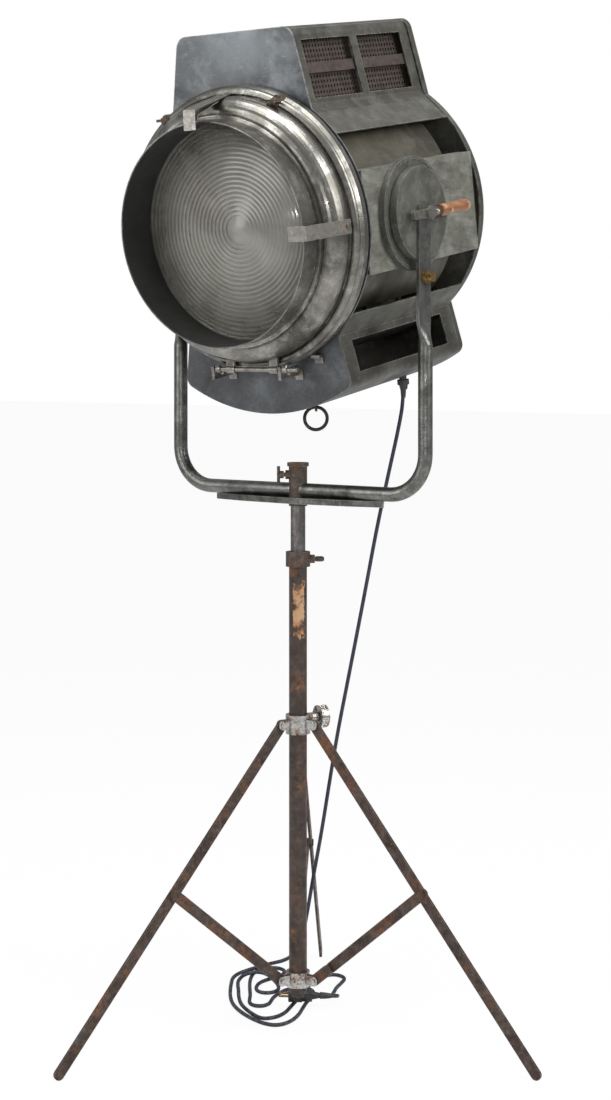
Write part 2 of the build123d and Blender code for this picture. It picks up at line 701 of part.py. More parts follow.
def cord_coil():
    """Outer shape of the loose turns lying on the floor."""
    loop = [(-200, 262), (-262, 330), (-302, 318), (-309, 268), (-290, 186), (-244, 106),
            (-200, 58), (-145, 22), (-84, 2), (-50, 8), (-44, 40), (-60, 100), (-100, 170)]
    inner = [(-214, 246), (-256, 290), (-276, 292), (-281, 262), (-263, 194), (-222, 122),
             (-184, 80), (-138, 50), (-92, 31), (-76, 36), (-72, 48), (-86, 92), (-122, 152)]
    gap = PLUG_AT * Pos(24, 0, 0) * Box(96, 31, 60)
    outer, hole = (up(make_face(Spline(*pts, periodic=True)), h)
                   for pts, h in ((loop, 15), (inner, 30)))
    return Pos(0, 0, 1) * outer - Pos(0, 0, -5) * hole - gap


def plug_body():
    b = rod(14, (0, 0, 0), (26, 0, 0)) + rod(12.4, (25, 0, 0), (46, 0, 0))
    b += Pos(52, 0, 0) * Cone(9, 5, 20, rotation=(0, 90, 0))
    for s in (1, -1):
        b -= rod(2.4, (-1, s * 9.5, 0), (12, s * 9.5, 0))
    return PLUG_AT * b


def plug_pin(s):
    return PLUG_AT * rod(2.4, (-19, s * 9.5, 0), (12, s * 9.5, 0))


def main():
    os.makedirs("parts", exist_ok=True)
    both = (1, -1)
    turned = Rot(0, -90, 0)
    head = {
        "housing_front_plate": front_plate(),
        "housing_rear_plate": rear_plate(),
        "hood_shell": hood_shell(),
        "vent_screens": Compound([f(s) for s in both for f in (vent_screen, vent_strip)]),
        "lamp_drum": lamp_drum(),
        "inner_baffles": Compound([chimney_wall(1), chimney_wall(-1), tray_pan()]),
        "side_slabs": Compound([side_plate(s) for s in both]),
        "bottom_tray": bottom_tray(),
        "pivot_discs": Compound([pivot_disc(s) for s in both]),
        "tilt_bolts": Compound([tilt_bolt(s) for s in both]),
        "hinge_lugs": Compound([hinge_lug(-80), hinge_lug(72), door_catch()]),
        "hinge_rod": Compound([hinge_rod(), rod_nut(-76.8), rod_nut(75.2)]),
        "focus_rails": Compound([rail(1), rail(-1), rail_foot(-130), rail_foot(218),
                                 screw_bearing(-116), screw_bearing(200)]),
        "terminal_block": terminal_block(),
        "cable_gland": cable_gland(),
        "pull_eye": pull_eye(),
        "lens_door_ring": door_ring(),
        "fresnel_lens": fresnel_lens(),
        "lens_retainer": lens_retainer(),
        "accessory_clips": Compound([clip_strap(), clip_rivet(), turned * clip_rivet(),
                                     turned * clip_strap() + latch_pin()]),
        "clip_latch": latch_leaf(),
        "door_leaf": door_leaf(),
        "focus_carriage": Compound([carriage(), reflector_stem()]),
        "lamp_socket": lamp_socket(),
        "lamp_cap": lamp_cap(),
        "lamp_envelope": lamp_envelope(),
        "reflector": reflector(),
        "lead_screw": lead_screw(),
        "focus_knob": focus_knob(),
    }
    at = [Pos(x, PLATE_FRONT_Y, z) for x, z in SCREWS]
    ring = head["lens_door_ring"]
    cut = [(p * door_screw() - ring).solids() for p in at]
    head["door_screws"] = Compound([max(c, key=lambda piece: piece.volume) for c in cut])
    head["screw_bosses"] = Compound([p * screw_boss() for p in at])
    for name, shape in head.items():
        save(name, HEAD * shape)
    floor = {
        "friction_discs": Compound([HEAD * friction_disc(s) for s in both]),
        "tilt_lever": HEAD * tilt_lever(),
        "lever_nuts": HEAD * Compound([lever_nut(), lever_bolt()]),
        "lever_grip": HEAD * lever_grip(),
        "pull_ring": pull_ring(),
        "yoke_frame": yoke_frame(),
        "yoke_saddle": yoke_saddle(),
        "receiver": receiver(),
        "receiver_bolt": receiver_bolt(),
        "brass_knob": brass_knob(),
        "mast_upper": mast_upper(),
        "mast_spigot": Compound([mast_spigot(), mast_glide()]),
        "mast_lower": Compound([mast_lower(), mast_end()]),
        "mast_collar": mast_collar(),
        "mast_screw": mast_screw(),
        "leg_collar": Compound([leg_collar(), pins(LEG_HUB_R, LEG_HUB_Z)]),
        "leg_collar_knob": leg_collar_knob(),
        "foot_collar": Compound([foot_collar(), pins(BRACE_HUB_R, BRACE_HUB_Z)]),
        "cord_drop": cord_drop(),
        "cord_coil": cord_coil(),
        "plug_body": plug_body(),
        "plug_pins": Compound([plug_pin(s) for s in both]),
    }
    for k, az in enumerate(LEG_AZ, 1):
        floor[f"leg_{k}"] = Compound([leg(az), leg_rivet(az)])
        floor[f"brace_{k}"] = Compound([brace(az), brace_rivet(az)])
    for name, shape in floor.items():
        save(name, shape)


main()
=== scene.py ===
"""Studio spotlight with a stepped lens, on a folding tripod stand."""

import json
import math

import bpy
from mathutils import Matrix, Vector


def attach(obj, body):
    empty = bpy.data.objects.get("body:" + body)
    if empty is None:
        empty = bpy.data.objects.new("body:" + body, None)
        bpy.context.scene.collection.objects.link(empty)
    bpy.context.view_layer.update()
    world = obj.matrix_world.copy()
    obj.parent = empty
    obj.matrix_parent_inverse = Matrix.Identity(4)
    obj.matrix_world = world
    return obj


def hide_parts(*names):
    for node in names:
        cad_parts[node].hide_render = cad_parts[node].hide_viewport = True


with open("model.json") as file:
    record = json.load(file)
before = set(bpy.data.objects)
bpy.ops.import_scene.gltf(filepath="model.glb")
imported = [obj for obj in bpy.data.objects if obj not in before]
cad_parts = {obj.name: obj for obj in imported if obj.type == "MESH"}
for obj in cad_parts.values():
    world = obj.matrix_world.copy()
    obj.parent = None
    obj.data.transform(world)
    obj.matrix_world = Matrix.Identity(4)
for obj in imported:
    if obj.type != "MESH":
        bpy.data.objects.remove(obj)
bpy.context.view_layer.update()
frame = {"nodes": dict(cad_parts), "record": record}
bpy.ops.object.select_all(action="DESELECT")

MM = 0.001
TILT = math.radians(9.4)                      # nose-down angle of the lamp house
PIVOT = Vector((0, 0, 1.55))                  # middle of the tilt axis
VIEW_TURN = math.radians(35.09)               # how far the view is turned about the mast
LOOK = Vector((-0.5748, 0.8183, 0.0))         # level viewing direction
RIGHT = Vector((0.8183, 0.5748, 0.0))         # level, to the right of the view
UP = Vector((0, 0, 1))
RUST_DARK = (0.045, 0.022, 0.014)
RUST_LIGHT = (0.24, 0.095, 0.035)

BARREL_RADIUS = 0.2012                        # painted shade stops at the inside wall of the ring
HOUSING_HALF_WIDTH = 0.212                    # the side slabs stand outside this
SLAB_REAR = 0.2365
SHOULDER_REACH = 0.2                          # from the tilt axis up to the hood's shoulder
LABEL_HEIGHT = 0.806                          # middle of the paper label on the lower tube
LABEL_HALF_HEIGHT = 0.050
LABEL_HALF_WIDTH = 0.0105
LABEL_ASIDE = 0.0015


# ---- shader helpers --------------------------------------------------------
class Graph:
    """Adds nodes to one tree and wires them by socket name or number."""

    def __init__(self, tree):
        self.tree = tree

    def node(self, kind, **inputs):
        made = self.tree.nodes.new(kind)
        for key, value in inputs.items():
            self.feed(made, key.replace("_", " "), value)
        return made

    def feed(self, made, key, value):
        socket = made.inputs[int(key)] if key.isdigit() else made.inputs[key]
        if isinstance(value, bpy.types.NodeSocket):
            self.tree.links.new(value, socket)
        elif isinstance(value, tuple) and len(value) == 3 and socket.type == "RGBA":
            socket.default_value = (*value, 1)
        else:
            socket.default_value = value

    def math(self, operation, a, b=0.0):
        made = self.tree.nodes.new("ShaderNodeMath")
        made.operation = operation
        self.feed(made, "0", a)
        self.feed(made, "1", b)
        return made.outputs[0]

    def mix(self, factor, a, b):
        """Colour a where factor is 0, b where it is 1."""
        made = self.tree.nodes.new("ShaderNodeMix")
        made.data_type = "RGBA"
        for socket, value in (("0", factor), ("6", a), ("7", b)):
            self.feed(made, socket, value)
        return made.outputs[2]

    def band(self, value, low, high):
        """0 below low, 1 above high."""
        made = self.tree.nodes.new("ShaderNodeMapRange")
        self.tree.links.new(value, made.inputs[0])
        made.inputs[1].default_value = low
        made.inputs[2].default_value = high
        return made.outputs[0]

    def noise(self, place, scale, detail=5.0, rough=0.6, warp=0.0):
        made = self.tree.nodes.new("ShaderNodeTexNoise")
        self.tree.links.new(place, made.inputs["Vector"])
        made.inputs["Scale"].default_value = scale
        made.inputs["Detail"].default_value = detail
        made.inputs["Roughness"].default_value = rough
        made.inputs["Distortion"].default_value = warp
        return made.outputs[0]


def new_group(name, inputs, outputs):
    tree = bpy.data.node_groups.new(name, "ShaderNodeTree")
    kinds = {"c": "NodeSocketColor", "f": "NodeSocketFloat", "v": "NodeSocketVector"}
    for label, kind, value in inputs:
        socket = tree.interface.new_socket(label, in_out="INPUT", socket_type=kinds[kind])
        socket.default_value = (*value, 1) if kind == "c" else value
    for label, kind in outputs:
        tree.interface.new_socket(label, in_out="OUTPUT", socket_type=kinds[kind])
    g = Graph(tree)
    return g, tree.nodes.new("NodeGroupInput").outputs, tree.nodes.new("NodeGroupOutput")


def patina_group():
    """Mottled metal or paint: broad stains, pale cloud and fine grain."""
    g, given, out = new_group(
        "Patina", [("Base", "c", (0.4, 0.4, 0.4)), ("Stain", "c", (0.1, 0.1, 0.1)),
                   ("Pale", "c", (0.7, 0.7, 0.7)), ("Scale", "f", 14.0),
                   ("Stain Amount", "f", 0.6), ("Pale Amount", "f", 0.4)],
        [("Color", "c"), ("Rough Shift", "f"), ("Height", "f")])
    place = g.node("ShaderNodeTexCoord").outputs["Object"]

    def cloud(factor, detail, rough, warp=0.0):
        made = g.node("ShaderNodeTexNoise", Vector=place, Detail=detail, Roughness=rough,
                      Distortion=warp, Scale=g.math("MULTIPLY", given["Scale"], factor))
        return made.outputs[0]

    stain = g.math("MULTIPLY", g.band(cloud(1.0, 6.0, 0.62, 0.6), 0.42, 0.66),
                   given["Stain Amount"])
    pale = g.math("MULTIPLY", g.band(cloud(2.3, 8.0, 0.7, 0.3), 0.48, 0.72),
                  given["Pale Amount"])
    grain = cloud(34.0, 3.0, 0.6)
    color = g.mix(stain, given["Base"], given["Stain"])
    color = g.mix(pale, color, given["Pale"])
    speck = g.mix(g.math("MULTIPLY", g.band(grain, 0.3, 0.7), 0.22), color, (0.03, 0.03, 0.03))
    g.feed(out, "Color", speck)
    g.feed(out, "Rough Shift", g.math("SUBTRACT", stain, pale))
    g.feed(out, "Height", g.math("ADD", grain, g.math("MULTIPLY", stain, 2.0)))
    return g.tree


def rust_group():
    """Rust bloom: patches that spread from small pits, orange to dark brown."""
    g, given, out = new_group(
        "Rust Bloom", [("Metal", "c", (0.3, 0.3, 0.3)), ("Amount", "f", 0.5),
                       ("Scale", "f", 60.0), ("Dark", "c", RUST_DARK),
                       ("Light", "c", RUST_LIGHT)],
        [("Color", "c"), ("Mask", "f"), ("Height", "f")])
    place = g.node("ShaderNodeTexCoord").outputs["Object"]

    def cloud(factor, detail, rough):
        made = g.node("ShaderNodeTexNoise", Vector=place, Detail=detail, Roughness=rough,
                      Scale=g.math("MULTIPLY", given["Scale"], factor))
        return made.outputs[0]

    broad, fine = cloud(0.3, 5.0, 0.6), cloud(1.6, 7.0, 0.75)
    level = g.math("ADD", g.math("MULTIPLY", broad, 0.55), g.math("MULTIPLY", fine, 0.45))
    edge = g.math("SUBTRACT", 0.74, g.math("MULTIPLY", given["Amount"], 0.46))
    mask = g.math("MULTIPLY", g.math("SUBTRACT", level, edge), 14.0)
    mask = g.math("MAXIMUM", g.math("MINIMUM", mask, 1.0), 0.0)
    tone = g.mix(g.band(cloud(0.9, 4.0, 0.6), 0.38, 0.66), given["Dark"], given["Light"])
    g.feed(out, "Color", g.mix(mask, given["Metal"], tone))
    g.feed(out, "Mask", mask)
    g.feed(out, "Height", g.math("MULTIPLY", mask, fine))
    return g.tree


def worn_edge_group():
    """Bright rubbed edges, found by rounding the corners a little."""
    g, given, out = new_group(
        "Worn Edge", [("Color", "c", (0.3, 0.3, 0.3)), ("Bare", "c", (0.6, 0.6, 0.6)),
                      ("Width", "f", 0.0022), ("Amount", "f", 0.8)],
        [("Color", "c"), ("Mask", "f")])
    soft = g.node("ShaderNodeBevel", Radius=given["Width"])
    soft.samples = 4
    sharp = g.node("ShaderNodeNewGeometry").outputs["Normal"]
    facing = g.node("ShaderNodeVectorMath")
    facing.operation = "DOT_PRODUCT"
    g.tree.links.new(soft.outputs[0], facing.inputs[0])
    g.tree.links.new(sharp, facing.inputs[1])
    turn = g.math("SUBTRACT", 1.0, facing.outputs["Value"])
    place = g.node("ShaderNodeTexCoord").outputs["Object"]
    patchy = g.band(g.noise(place, 70.0, 4.0, 0.7), 0.36, 0.6)
    mask = g.math("MULTIPLY", g.band(turn, 0.012, 0.12), patchy)
    mask = g.math("MULTIPLY", mask, given["Amount"])
    g.feed(out, "Color", g.mix(mask, given["Color"], given["Bare"]))
    g.feed(out, "Mask", mask)
    return g.tree


def scratch_group():
    """Fine scratches that run in one direction, and short random nicks."""
    g, given, out = new_group(
        "Scratches", [("Stretch", "v", (6, 90, 90)), ("Amount", "f", 0.5)],
        [("Mask", "f")])
    place = g.node("ShaderNodeTexCoord").outputs["Object"]
    long = g.node("ShaderNodeMapping", Vector=place, Scale=given["Stretch"]).outputs[0]
    lines = g.band(g.noise(long, 3.0, 6.0, 0.7), 0.58, 0.68)
    nicks = g.band(g.noise(place, 55.0, 8.0, 0.85, 1.4), 0.64, 0.68)
    g.feed(out, "Mask", g.math("MULTIPLY", g.math("MAXIMUM", lines, nicks), given["Amount"]))
    return g.tree


PATINA = patina_group()
RUST = rust_group()
WORN = worn_edge_group()
SCRATCH = scratch_group()
made_materials = {}


def start(name, metallic=0.0, roughness=0.5):
    """New material with one Principled shader, entered in made_materials."""
    mat = bpy.data.materials.new(name)
    mat.use_nodes = True
    mat.node_tree.nodes.clear()
    g = Graph(mat.node_tree)
    shader = g.node("ShaderNodeBsdfPrincipled", Metallic=metallic, Roughness=roughness)
    out = g.node("ShaderNodeOutputMaterial")
    g.tree.links.new(shader.outputs[0], out.inputs["Surface"])
    made_materials[name] = mat
    return g, shader


def use(g, tree, **inputs):
    made = g.tree.nodes.new("ShaderNodeGroup")
    made.node_tree = tree
    for key, value in inputs.items():
        g.feed(made, key.replace("_", " "), value)
    return made.outputs


def bump(g, shader, height, strength, distance=0.0008):
    made = g.node("ShaderNodeBump", Height=height, Strength=strength, Distance=distance)
    g.tree.links.new(made.outputs[0], shader.inputs["Normal"])


def finish(name, base, stain, pale, scale=14.0, metallic=0.7, roughness=0.45, stains=0.6,
           pales=0.4, rust=0.0, rust_scale=60.0, bare=None, edge=0.0022, scratch=0.0,
           stretch=(6, 90, 90), relief=0.35, spread=0.14, light=RUST_LIGHT):
    """Aged metal or paint: patina, then scratches, worn edges and rust."""
    g, shader = start(name, metallic, roughness)
    skin = use(g, PATINA, Base=base, Stain=stain, Pale=pale, Scale=scale,
               Stain_Amount=stains, Pale_Amount=pales)
    color, height = skin["Color"], skin["Height"]
    rough = g.math("ADD", g.math("MULTIPLY", skin["Rough Shift"], spread), roughness)
    if scratch:
        lines = use(g, SCRATCH, Stretch=stretch, Amount=scratch)["Mask"]
        color = g.mix(lines, color, pale)
        height = g.math("SUBTRACT", height, lines)
    if bare:
        rubbed = use(g, WORN, Color=color, Bare=bare, Width=edge)
        color = rubbed["Color"]
        rough = g.math("SUBTRACT", rough, g.math("MULTIPLY", rubbed["Mask"], 0.12))
    if rust:
        bloom = use(g, RUST, Metal=color, Amount=rust, Scale=rust_scale, Light=light)
        color = bloom["Color"]
        rough = g.math("ADD", rough, g.math("MULTIPLY", bloom["Mask"], 0.3))
        height = g.math("ADD", height, bloom["Height"])
        if metallic:
            bared = g.math("SUBTRACT", 1.0, g.math("MULTIPLY", bloom["Mask"], 0.9))
            g.feed(shader, "Metallic", g.math("MULTIPLY", bared, metallic))
    g.feed(shader, "Base Color", color)
    g.feed(shader, "Roughness", rough)
    bump(g, shader, height, relief)
    return g, shader


# ---- finishes ----------------------------------------------------------------
def make_finishes():
    finish("plate_zinc", (0.118, 0.124, 0.128), (0.042, 0.044, 0.048), (0.30, 0.32, 0.33),
           6.5, 0.7, 0.42, 0.85, 0.6, bare=(0.55, 0.55, 0.53), edge=0.003, scratch=0.3,
           stretch=(20, 40, 90), relief=0.14, rust=0.26, rust_scale=22.0,
           light=(0.12, 0.06, 0.035))
    finish("housing_paint", (0.066, 0.062, 0.049), (0.024, 0.022, 0.018),
           (0.165, 0.168, 0.15), 11.0, 0.4, 0.46, 0.8, 0.6, bare=(0.36, 0.36, 0.33),
           edge=0.0028, scratch=0.45, stretch=(60, 8, 60), relief=0.18, rust=0.24,
           rust_scale=30.0, light=(0.11, 0.055, 0.032))
    finish("housing_dark", (0.016, 0.016, 0.014), (0.006, 0.006, 0.006),
           (0.045, 0.043, 0.037), 16.0, 0.0, 0.7, 0.5, 0.35, relief=0.2)
    finish("drum_metal", (0.085, 0.078, 0.055), (0.03, 0.025, 0.018), (0.18, 0.172, 0.13),
           8.0, 0.35, 0.48, 0.85, 0.55, scratch=0.25, stretch=(70, 8, 70), relief=0.15,
           rust=0.24, rust_scale=22.0)
    finish("rusty_screen", (0.052, 0.036, 0.029), (0.018, 0.012, 0.01),
           (0.11, 0.082, 0.066), 40.0, 0.25, 0.62, 0.7, 0.5, rust=0.4, rust_scale=70.0,
           relief=0.4, light=(0.085, 0.04, 0.024))
    finish("disc_steel", (0.125, 0.125, 0.106), (0.05, 0.048, 0.041), (0.29, 0.29, 0.255),
           14.0, 0.5, 0.42, 0.75, 0.55, bare=(0.42, 0.42, 0.39), scratch=0.3,
           stretch=(40, 40, 9), relief=0.18, rust=0.2, rust_scale=40.0)
    finish("bright_steel", (0.29, 0.275, 0.245), (0.11, 0.095, 0.078), (0.56, 0.545, 0.51),
           42.0, 0.88, 0.3, 0.75, 0.5, bare=(0.8, 0.79, 0.75), edge=0.0012, scratch=0.3,
           relief=0.22, rust=0.34, rust_scale=120.0)
    finish("brass_old", (0.34, 0.225, 0.09), (0.09, 0.055, 0.028), (0.62, 0.45, 0.22), 60.0,
           0.95, 0.32, 0.65, 0.5, relief=0.2)
    finish("rust_iron", (0.10, 0.078, 0.062), (0.038, 0.026, 0.02), (0.25, 0.21, 0.175),
           55.0, 0.7, 0.45, 0.6, 0.45, bare=(0.42, 0.37, 0.31), edge=0.0015, rust=0.5,
           rust_scale=110.0, relief=0.45, light=(0.16, 0.07, 0.03))
    finish("black_iron", (0.045, 0.04, 0.037), (0.018, 0.016, 0.015), (0.12, 0.105, 0.095),
           60.0, 0.7, 0.42, 0.5, 0.4, bare=(0.26, 0.23, 0.21), edge=0.001, rust=0.34,
           rust_scale=130.0, relief=0.35)
    finish("yoke_steel", (0.18, 0.183, 0.168), (0.058, 0.058, 0.05), (0.43, 0.43, 0.405),
           18.0, 0.9, 0.32, 0.9, 0.55, scratch=0.3, stretch=(50, 50, 8), relief=0.25,
           rust=0.26, rust_scale=80.0, bare=(0.62, 0.62, 0.59), edge=0.0015)
    finish("tube_steel", (0.19, 0.178, 0.172), (0.075, 0.064, 0.06), (0.42, 0.405, 0.39),
           28.0, 0.88, 0.36, 0.7, 0.5, scratch=0.3, stretch=(90, 90, 6), relief=0.22,
           rust=0.36, rust_scale=90.0)
    finish("collar_chrome", (0.52, 0.51, 0.48), (0.17, 0.15, 0.13), (0.82, 0.81, 0.79),
           50.0, 0.97, 0.2, 0.7, 0.5, scratch=0.25, relief=0.25, rust=0.52,
           rust_scale=150.0, bare=(0.88, 0.87, 0.84), edge=0.0012)
    finish("leg_steel", (0.075, 0.052, 0.042), (0.027, 0.018, 0.014), (0.19, 0.15, 0.125),
           30.0, 0.65, 0.42, 0.85, 0.6, bare=(0.33, 0.29, 0.25), edge=0.0016, scratch=0.15,
           stretch=(40, 40, 10), rust=0.52, rust_scale=75.0, relief=0.45,
           light=(0.16, 0.066, 0.03))
    finish("socket_body", (0.66, 0.63, 0.55), (0.4, 0.36, 0.29), (0.8, 0.78, 0.72), 40.0,
           0.0, 0.25, 0.4, 0.4, relief=0.1)
    finish("gland_black", (0.022, 0.022, 0.023), (0.01, 0.01, 0.01), (0.06, 0.06, 0.06), 90.0,
           0.0, 0.48, 0.5, 0.4, relief=0.2)
    finish("plug_plastic", (0.018, 0.019, 0.02), (0.008, 0.008, 0.008), (0.075, 0.075, 0.073),
           70.0, 0.0, 0.42, 0.5, 0.45, relief=0.2, scratch=0.2)
    paint_window_light_on_flanks()
    paint_plate_top_light()
    make_ring_alloy()
    make_tube_rust()
    make_grip_wood()
    make_cord_rubber()
    make_glass()


def head_axes(g, place):
    """Coordinates square to the tilted lamp house, measured from its pivot."""
    local = g.node("ShaderNodeMapping", Vector=place)
    local.vector_type = "TEXTURE"
    local.inputs["Location"].default_value = tuple(PIVOT)
    local.inputs["Rotation"].default_value = (TILT, 0, 0)
    return g.node("ShaderNodeSeparateXYZ", Vector=local.outputs[0]).outputs


def paint_window_light_on_flanks():
    """Painted window light: the side slabs, and faintly the shoulder above them, are painted
    paler than the hood in patches.
    """
    mat = made_materials["housing_paint"]
    g = Graph(mat.node_tree)
    shader = next(n for n in g.tree.nodes if n.bl_idname == "ShaderNodeBsdfPrincipled")
    old = shader.inputs["Base Color"].links[0].from_socket
    place = g.node("ShaderNodeTexCoord").outputs["Object"]
    axes = head_axes(g, place)
    out = g.math("ABSOLUTE", axes[0])
    slab = g.math("MULTIPLY", g.math("GREATER_THAN", out, HOUSING_HALF_WIDTH),
                  g.math("LESS_THAN", axes[1], SLAB_REAR))
    ledge = g.math("MULTIPLY", g.math("LESS_THAN", g.math("ABSOLUTE", axes[2]), SHOULDER_REACH),
                   g.math("LESS_THAN", out, HOUSING_HALF_WIDTH))
    ledge = g.math("MULTIPLY", ledge, 0.2)
    cloud = g.node("ShaderNodeMapping", Vector=place, Scale=(1, 1.6, 5)).outputs[0]
    patchy = g.math("ADD", g.math("MULTIPLY", g.band(g.noise(cloud, 9.0, 8.0, 0.68, 0.8),
                                                     0.34, 0.62), 0.75), 0.25)
    # painted window light: full on the slabs, a fifth on the shoulder, broken into patches
    wear_and_painted_light = g.math("MULTIPLY", g.math("MAXIMUM", slab, ledge), patchy)
    pale = g.mix(g.band(g.noise(place, 34.0, 6.0), 0.35, 0.65), (0.16, 0.16, 0.132),
                 (0.27, 0.275, 0.235))
    g.feed(shader, "Base Color", g.mix(wear_and_painted_light, old, pale))


def paint_plate_top_light():
    """Painted light makes the plate paler towards its top, and the plate is darker low down."""
    mat = made_materials["plate_zinc"]
    g = Graph(mat.node_tree)
    shader = next(n for n in g.tree.nodes if n.bl_idname == "ShaderNodeBsdfPrincipled")
    old = shader.inputs["Base Color"].links[0].from_socket
    place = g.node("ShaderNodeTexCoord").outputs["Object"]
    height = head_axes(g, place)[2]
    # darker towards the bottom of the plate, in patches
    low = g.math("SUBTRACT", 1.0, g.band(height, -0.30, 0.05))
    darker_low_down = g.math("MULTIPLY", low, g.band(g.noise(place, 12.0, 7.0, 0.66), 0.3, 0.6))
    color = g.mix(g.math("MULTIPLY", darker_low_down, 0.7), old, (0.05, 0.052, 0.056))
    # painted light from above: the top of the plate is made paler in patches
    high = g.math("MULTIPLY", g.band(height, 0.2, 0.34),
                  g.band(g.noise(place, 7.0, 6.0, 0.6, 0.7), 0.4, 0.62))
    g.feed(shader, "Base Color", g.mix(g.math("MULTIPLY", high, 0.45), color,
                                       (0.26, 0.285, 0.30)))


def make_ring_alloy():
    """Old polish on cast alloy, painted shade near black inside the barrel, brushed round the
    axis.
    """
    g, shader = finish("ring_alloy", (0.235, 0.226, 0.2), (0.075, 0.071, 0.06),
                       (0.62, 0.605, 0.56), 9.0, 0.94, 0.27, 0.9, 0.55, relief=0.16,
                       bare=(0.85, 0.83, 0.78), edge=0.0018, spread=0.2, scratch=0.3,
                       stretch=(30, 30, 30))
    old = shader.inputs["Base Color"].links[0].from_socket
    place = g.node("ShaderNodeTexCoord").outputs["Object"]
    axes = head_axes(g, place)
    radius = g.math("SQRT", g.math("ADD", g.math("MULTIPLY", axes[0], axes[0]),
                                   g.math("MULTIPLY", axes[2], axes[2])))
    edge = g.math("ADD", g.math("MULTIPLY", g.noise(place, 30.0, 3.0), 0.003), BARREL_RADIUS)
    # painted shade inside the barrel: the inner wall is made near black, less metallic and
    # rougher
    inside = g.math("LESS_THAN", radius, edge)
    soot_and_painted_shade = g.mix(g.noise(place, 18.0, 6.0), (0.012, 0.012, 0.012), (0.05, 0.05, 0.048))
    g.feed(shader, "Base Color", g.mix(inside, old, soot_and_painted_shade))
    metal = g.math("SUBTRACT", 0.96, g.math("MULTIPLY", inside, 0.8))
    g.feed(shader, "Metallic", metal)
    rough = shader.inputs["Roughness"].links[0].from_socket
    g.feed(shader, "Roughness", g.math("ADD", rough, g.math("MULTIPLY", inside, 0.25)))


def make_tube_rust():
    """Rusted tube with the torn remains of a paper label on one side."""
    g, shader = finish("tube_rust", (0.064, 0.044, 0.035), (0.026, 0.017, 0.013),
                       (0.13, 0.10, 0.082), 30.0, 0.5, 0.44, 0.8, 0.65, rust=0.48,
                       rust_scale=60.0, relief=0.35, scratch=0.15, stretch=(90, 90, 7),
                       light=(0.17, 0.075, 0.035))
    old = shader.inputs["Base Color"].links[0].from_socket
    metal = shader.inputs["Metallic"].links[0].from_socket
    place = g.node("ShaderNodeTexCoord").outputs["Object"]
    axes = g.node("ShaderNodeSeparateXYZ", Vector=place).outputs
    ragged = g.math("MULTIPLY", g.math("SUBTRACT", g.noise(place, 95.0, 6.0, 0.7), 0.5), 0.075)
    up = g.math("SUBTRACT", g.math("ADD", axes[2], ragged), LABEL_HEIGHT)
    height = g.math("LESS_THAN", g.math("ABSOLUTE", up), LABEL_HALF_HEIGHT)
    across = g.math("ADD", g.math("MULTIPLY", axes[0], RIGHT.x),
                    g.math("MULTIPLY", axes[1], RIGHT.y))
    across = g.math("ADD", across, g.math("MULTIPLY", ragged, 0.16))
    across = g.math("ABSOLUTE", g.math("SUBTRACT", across, LABEL_ASIDE))
    width = g.math("LESS_THAN", across, LABEL_HALF_WIDTH)
    front = g.math("LESS_THAN", g.math("ADD", g.math("MULTIPLY", axes[0], LOOK.x),
                                       g.math("MULTIPLY", axes[1], LOOK.y)), 0.0)
    label = g.math("MULTIPLY", g.math("MULTIPLY", height, width), front)
    wear_and_painted_light = g.band(g.noise(place, 45.0, 5.0, 0.65), 0.38, 0.5)
    label = g.math("MULTIPLY", label, wear_and_painted_light)
    paper = g.mix(g.band(g.noise(place, 30.0, 5.0, 0.6), 0.4, 0.6),
                  (0.40, 0.155, 0.05), (0.44, 0.27, 0.14))
    g.feed(shader, "Base Color", g.mix(label, old, paper))
    g.feed(shader, "Metallic", g.math("MULTIPLY", metal, g.math("SUBTRACT", 1.0, label)))


def make_grip_wood():
    """Turned hardwood grip: long grain, dark pores, varnish worn pale."""
    g, shader = start("grip_wood", 0.0, 0.42)
    place = g.node("ShaderNodeTexCoord").outputs["Object"]
    along = g.node("ShaderNodeMapping", Vector=place)
    along.inputs["Rotation"].default_value = (TILT, 0, 0)
    along.inputs["Scale"].default_value = (160, 14, 160)
    grain = g.noise(along.outputs[0], 1.6, 8.0, 0.65, 0.8)
    color = g.mix(g.band(grain, 0.34, 0.64), (0.085, 0.03, 0.013), (0.30, 0.125, 0.045))
    wear_and_painted_light = g.band(g.noise(place, 38.0, 4.0, 0.6), 0.52, 0.66)
    color = g.mix(wear_and_painted_light, color, (0.42, 0.24, 0.12))
    g.feed(shader, "Base Color", color)
    shader.inputs["Coat Weight"].default_value = 0.35
    shader.inputs["Coat Roughness"].default_value = 0.25
    bump(g, shader, grain, 0.3)


def make_cord_rubber():
    """Dark blue-black sheath, dusty where it has lain on the floor."""
    g, shader = start("cord_rubber", 0.0, 0.5)
    place = g.node("ShaderNodeTexCoord").outputs["Object"]
    mottled = g.mix(g.band(g.noise(place, 60.0, 5.0), 0.4, 0.65),
                    (0.010, 0.012, 0.024), (0.022, 0.026, 0.046))
    height = g.node("ShaderNodeSeparateXYZ", Vector=place).outputs[2]
    low = g.math("SUBTRACT", 1.0, g.band(height, 0.01, 0.10))
    dust = g.math("MULTIPLY", low, g.band(g.noise(place, 90.0, 6.0, 0.7), 0.45, 0.7))
    color = g.mix(g.math("MULTIPLY", dust, 0.6), mottled, (0.12, 0.12, 0.11))
    g.feed(shader, "Base Color", color)
    bump(g, shader, g.noise(place, 700.0, 2.0), 0.12, 0.0003)


